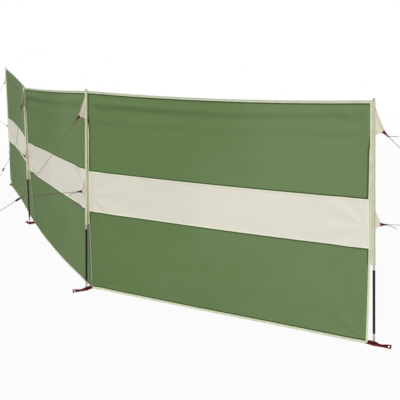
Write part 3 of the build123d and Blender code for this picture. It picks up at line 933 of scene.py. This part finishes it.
# Tabs and rings
# Dark red webbing is folded through a black ring and sewn into each flap's tip, so the tab is a narrow
# loop that tapers to the ring's wire in its bend. On pole 2 a faded red keeper slides on the upper leg.
tab_half_widths, tab_half_thickness = (0.0095, 0.0028), 0.0008
tab_length, tab_root, tab_spread = 0.024, 0.004, 0.0012
ring_radius, ring_wire = 0.0045, 0.0016
clearance = 0.0002
keeper_half_width, keeper_half_thickness, keeper_start, keeper_length = 0.0040, 0.0021, 0.010, 0.045


def webbing_finish(name, dark, light, gaps, soil_and_shade):
    """Ribbed polyester webbing: ribs with darker gaps between them, a mottle of two shades, and painted
    shade along its middle line, where it is hollow."""
    material, nodes, place = finish(name, sewn=True)
    weave = weave_height(nodes, place, 0.0018)
    clouds = nodes.noise(place, 90.0, 3.0)
    colour = nodes.mix(clouds.ramp(0.3, 0.7), dark, light)
    colour = nodes.mix(weave * 0.65 + 0.35, gaps, colour)
    # painted shade: the webbing is painted dark along its middle line, for the shade inside the hollow
    from_middle = nodes.axis(place, "Y").math("ABSOLUTE")
    colour = nodes.mix((1 - from_middle.ramp(0.002, 0.009)) * soil_and_shade, colour, gaps)
    return close(material, nodes, colour, 0.66 + 0.12 * clouds, weave, 0.0006, Specular_IOR_Level=0.2)


red_webbing = webbing_finish(
    "red_webbing", paint(108, 14, 24), paint(160, 30, 38), paint(34, 6, 10), 0.8)
tab_webbing = webbing_finish(
    "maroon_webbing", paint(84, 16, 22), paint(122, 30, 38), paint(44, 8, 12), 0.0)
keeper_webbing = webbing_finish(
    "faded_webbing", paint(150, 84, 66), paint(178, 108, 88), paint(112, 56, 44), 0.0)


def ring_centre(pole, n):
    """The ring's centre, beyond the tab along the pull."""
    tip, pull = flap_tip(pole, n)
    return tip + pull * (tab_length + ring_radius + ring_wire + 2 * clearance), pull


def circle(centre, first, second, radius, count=24):
    """Points round a circle in the plane of two directions."""
    turn = np.linspace(0, 2 * pi, count, endpoint=False)[:, None]
    return centre + (first * np.cos(turn) + second * np.sin(turn)) * radius


def straight(start, end, pieces=24):
    """Points along a straight line."""
    return start + (end - start) * np.linspace(0, 1, pieces)[:, None]


def tab(pole, n):
    """A ribbon along a hairpin: out along the pull, half round the ring's wire, and back."""
    _, _, normal = guy_plane(pole)
    tip, pull = flap_tip(pole, n)
    bend_radius = ring_wire + tab_half_thickness + clearance
    bend = tab_length + 2 * clearance + ring_wire
    turn = np.linspace(-pi / 2, pi / 2, 13)
    run = np.linspace(-tab_root, bend, 12)[:-1]
    spread = tab_spread + (bend_radius - tab_spread) * np.clip(run / bend, 0, 1) ** 2
    reach = np.concatenate([run, bend + bend_radius * np.cos(turn), run[::-1]])
    rise = np.concatenate([-spread, bend_radius * np.sin(turn), spread[::-1]])
    path = tip + pull * reach[:, None] + normal * rise[:, None]
    width_direction = np.cross(normal, pull)
    lift = np.cross(unit(np.gradient(path, axis=0)), width_direction)
    x, y = ring_of(1.0, tab_half_thickness, 12, 4.0)
    x = np.interp(reach, (0, bend), tab_half_widths)[:, None] * x
    rings = path[:, None] + width_direction * x[..., None] + lift[:, None] * y[:, None]
    places = np.stack([reach[:, None] + np.sign(rise)[:, None] + 0 * x, x], -1)
    return capped(rings, np.concatenate([places, places[:, :1]], 1))


def keeper(pole):
    """A flat sleeve of webbing on the first part of the upper leg."""
    centre, pull = ring_centre(pole, 0)
    _, _, normal = guy_plane(pole)
    path = straight(centre + pull * keeper_start, centre + pull * (keeper_start + keeper_length), 12)
    return tube(path, normal, keeper_half_width, keeper_half_thickness, power=3.0)


tabs = [tab(pole, n) for pole, n in flaps_of_pole]
add_piece("guy_tab_loops", tabs, tab_webbing, ["guy_tabs"])
add_piece("guy_leg_keepers", [keeper(1)], keeper_webbing)
rings = []
for pole, n in flaps_of_pole:
    centre, pull = ring_centre(pole, n)
    _, _, normal = guy_plane(pole)
    path = circle(centre, pull, np.cross(normal, pull), ring_radius)
    rings.append(tube(path, normal, ring_wire, ring_wire, closed=True))
add_piece("guy_ring_wires", rings, plastic, ["guy_rings"])


# Guy lines
# Braided grey cord, 3 mm, stained red next to the rings, and further on at pole 2. Two legs run from the
# rings to a knot, and one line runs on to a loop round the peg. All of it is pulled straight.
cord_radius = 0.0015
peg_reaches = (2.200, 2.240, 1.330, 2.450)
peg_radius, peg_slope, peg_loop_height = 0.0025, radians(60), 0.022
loop_clearance = 0.0003
braid_pitch = 0.0028
stain_end, long_stain_end, unstained = 0.030, 0.55, 1.0


def cord_finish(name, end, stain):
    """Braided cord: two sets of strands wound opposite ways along its UV, lighter on their crowns, and
    stained where its run from the ring is short."""
    material, nodes, place = finish(name, sewn=True)
    run, turn = nodes.axis(place, "X"), nodes.axis(place, "Y")
    one_way, other_way = (run + turn).wave(braid_pitch), (run - turn).wave(braid_pitch)
    braid = one_way.math("MAXIMUM", other_way)
    soil_and_shade = nodes.noise(place, 40.0, 3.0)
    colour = nodes.mix(braid.ramp(0.35, 1.0), paint(80, 68, 64), paint(138, 125, 118))
    colour = nodes.mix(soil_and_shade.ramp(0.45, 0.75) * 0.3, colour, paint(118, 108, 98))
    colour = nodes.mix((1 - run.ramp(end * 0.3, end)) * 0.85, colour, stain)
    return close(material, nodes, colour, 0.74 + 0.1 * soil_and_shade, braid, 0.0005, Specular_IOR_Level=0.2)


cord_material = cord_finish("grey_cord", stain_end, paint(92, 46, 44))
stained_cord = cord_finish("stained_cord", long_stain_end, paint(122, 86, 66))


def cord(path, reference, closed=False, start=0.0):
    """A length of cord along a path, with its run counted from start."""
    return tube(path, reference, cord_radius, cord_radius, closed=closed, start=start)


def peg_loop(pole):
    """The cord's loop round the peg: its centre on the shank and its radius."""
    out = heading(guy_headings[pole])
    shank = out * cos(peg_slope) + upright * sin(peg_slope)
    centre = feet[pole] + out * peg_reaches[pole] + shank * peg_loop_height / sin(peg_slope)
    return centre, shank, peg_radius + cord_radius + loop_clearance


for pole in poles:
    knot = knot_point(pole)
    _, _, normal = guy_plane(pole)
    shapes = []
    for n in range(2):
        centre, pull = ring_centre(pole, n)
        far = centre + pull * ring_radius
        bight = ring_wire + cord_radius
        shapes.append(cord(circle(far, pull, normal, bight), np.cross(normal, pull), closed=True))
        shapes.append(cord(straight(far + pull * bight, knot), normal))
    centre, shank, radius = peg_loop(pole)
    toward = unit(centre - knot)
    level = np.cross(shank, toward)
    loop = circle(centre, unit(np.cross(level, shank)), unit(level), radius)
    shapes.append(cord(loop, shank, closed=True, start=unstained))
    shapes.append(cord(straight(knot, centre - toward * radius, 60), normal, start=unstained))
    name = f"pole_{pole + 1}_guy_line"
    add_piece(f"{name}_cord", shapes, stained_cord if pole == 1 else cord_material, [name])


# Knots
# A small overhand knot pulled tight where the two legs meet the line, drawn as a trefoil of the same
# cord, and a slider of black plastic on the line.
knot_scale = 0.00125


def trefoil(centre, first, second, third):
    """x = sin t + 2 sin 2t, y = cos t - 2 cos 2t, z = -1.6 sin 3t, scaled to the knot's size."""
    t = np.linspace(0, 2 * pi, 72, endpoint=False)[:, None]
    flat = first * (np.sin(t) + 2 * np.sin(2 * t)) + second * (np.cos(t) - 2 * np.cos(2 * t))
    return centre + knot_scale * (flat - third * 1.6 * np.sin(3 * t))


knots = []
for pole in poles:
    out, axis, normal = guy_plane(pole)
    path = trefoil(knot_point(pole), out, axis, normal)
    knots.append(cord(path, normal, closed=True, start=unstained))
add_piece("guy_line_knots", knots, cord_material, ["guy_knots"])
dress("guy_sliders", plastic)


# Pegs
# Zinc-plated wire at the ends of the guy lines, bent to a straight shank that leans out and a round hook
# that keeps the line's loop on.
peg_shank, hook_radius, hook_end = 0.046, 0.008, 0.012


def peg(pole):
    """Wire carried up the shank, half round the hook and back down; its first ring is drawn to z = 0."""
    out = heading(guy_headings[pole])
    _, shank, _ = peg_loop(pole)
    side = np.cross(unit(np.cross(shank, out)), shank)
    ground_point = feet[pole] + out * peg_reaches[pole]
    turn = np.linspace(0, pi, 15)[:, None]
    hook = (ground_point + shank * (peg_shank + hook_radius * np.sin(turn))
            + side * hook_radius * (1 - np.cos(turn)))
    tip = hook[-1] - shank * hook_end
    path = np.concatenate([straight(ground_point, hook[0], 6)[:-1], hook, tip[None]])
    wire = tube(path, np.cross(shank, side), peg_radius, peg_radius)
    wire.points[:tube_ring] -= shank * (wire.points[:tube_ring, 2:] / shank[2])
    return wire


add_piece("guy_peg_wires", [peg(pole) for pole in poles], zinc, ["guy_pegs"])


# Foot straps
# Dark red webbing runs from the cloth's bottom corner, where it stands on edge, under the pole's pin, where
# it lies flat with its edges turned up, and out to an eye for a peg, where it leans back again.
strap_headings = (3.0, 228.0, 152.0, 142.0)
strap_turns = (1, -1, -1, -1)
strap_tail, strap_reach, strap_half_thickness = 0.009, 0.096, 0.0009
strap_holes = ((0.0, 0.0073), (0.082, 0.0055))
strap_half_widths = ((-0.046, 0.009), (-0.030, 0.012), (-0.012, 0.0155), (0.012, 0.0155), (0.026, 0.010),
                     (0.044, 0.0078), (0.072, 0.0115), (0.096, 0.013))
strap_tilts = ((-0.046, 82), (-0.032, 72), (-0.012, 4), (0.012, 4), (0.032, 42), (0.046, 46), (0.096, 36))
strap_curls = ((-0.026, 0.3), (-0.014, 1.0), (0.014, 1.0), (0.030, 0.0))
strap_rows, strap_columns, curl_rise = 90, 5, 1.6
strap_bend, strap_seat = 0.008, 1.1 * strap_half_thickness


def strap_half(pole, side):
    """Half a strap, from its middle line or a hole's edge |y| = sqrt(r^2 - s^2) out to its edge. Each row
    is tilted about the middle line, and beside the pin the outer part of it rises."""
    s = np.linspace(-seam_offset_feet[pole] - strap_tail, strap_reach, strap_rows)
    out = heading(strap_headings[pole])
    bend = (np.tanh(s / strap_bend)[:, None] + 1) / 2
    ahead = unit((1 - bend) * -seams[pole] + bend * out)
    middle = feet[pole] + seams[pole] * np.maximum(-s, 0)[:, None] + out * np.maximum(s, 0)[:, None]
    sideways = np.cross(upright, ahead) * strap_turns[pole]
    tables = (strap_half_widths, strap_tilts, strap_curls)
    half_width, tilt, curl = (np.interp(s, *zip(*table)) for table in tables)
    hole = np.zeros_like(s)
    for centre, radius in strap_holes:
        hole = np.maximum(hole, np.sqrt(np.maximum(radius**2 - (s - centre) ** 2, 0)))
    y = side * (hole[:, None] + (half_width - hole)[:, None] * np.linspace(0, 1, strap_columns))
    rise = curl[:, None] * np.maximum(np.abs(y) - strap_holes[0][1], 0) * curl_rise
    lean, stand = np.cos(np.radians(tilt))[:, None], np.sin(np.radians(tilt))[:, None]
    height = (y + half_width[:, None]) * stand + strap_seat + rise
    across = sideways[:, None] * lean[..., None] + upright * stand[..., None]
    surface = middle[:, None] + sideways[:, None] * (y * lean)[..., None] + upright * height[..., None]
    normal = unit(np.cross(np.gradient(surface, axis=0), across))
    faces = [surface + normal * way * strap_half_thickness for way in (1, -1)]
    rings = np.concatenate([faces[0], faces[1][:, ::-1]], 1)
    turn = np.concatenate([y, y[:, ::-1], y[:, :1]], 1)
    return capped(rings, np.stack([np.broadcast_to(s[:, None], turn.shape), turn], -1))


for pole in poles:
    halves = [strap_half(pole, side) for side in (1, -1)]
    name = f"pole_{pole + 1}_foot_strap"
    add_piece(f"{name}_webbing", halves, red_webbing, [name])


# Loose cord ends
# What is left over at three of the rings: short ends of the same cord, cut off bare, that stick out and
# droop.
tail_step, tail_runs = 0.002, (0.020, 0.020, 0.016)
tail_slopes = ((8.0, 2.0, -10.0), (-5.0, -14.0, -26.0))


def tail_route(pole, n):
    """The corners of a loose end: it leaves the leg just past the ring, above the leg at an upper ring and
    below it at a middle one, and each run slopes down more than the last."""
    out = heading(guy_headings[pole])
    _, _, normal = guy_plane(pole)
    centre, pull = ring_centre(pole, n)
    beside = np.cross(pull, normal) * (-1, 1)[n] * (2 * cord_radius + clearance)
    route = [centre + pull * (ring_radius + ring_wire + clearance + tail_step) + beside]
    for run, slope in zip(tail_runs, tail_slopes[n]):
        route.append(route[-1] + (out * cos(radians(slope)) + upright * sin(radians(slope))) * run)
    return route


def smooth_path(name, route):
    """The points of a NURBS spline of order 3 through the first and last points of a route."""
    curve = bpy.data.curves.new(name, "CURVE")
    curve.dimensions = "3D"
    spline = curve.splines.new("NURBS")
    spline.points.add(len(route) - 1)
    for point, place in zip(spline.points, route):
        point.co = (*place, 1.0)
    spline.order_u, spline.use_endpoint_u, spline.resolution_u = 3, True, 12
    carrier = bpy.data.objects.new(name, curve)
    mesh = bpy.data.meshes.new_from_object(carrier)
    points = np.zeros(len(mesh.vertices) * 3)
    mesh.vertices.foreach_get("co", points)
    bpy.data.objects.remove(carrier)
    bpy.data.meshes.remove(mesh)
    return points.reshape(-1, 3)


loose_ends = (("cord_end_1_upper", 0, 0), ("cord_end_1_middle", 0, 1), ("cord_end_2_middle", 1, 1))
for node, pole, n in loose_ends:
    path = smooth_path(node, tail_route(pole, n))
    _, _, normal = guy_plane(pole)
    shape = cord(path, normal, start=stain_end / 3)
    loose_end = add_piece(f"{node}_cord", [shape], cord_material, [node])
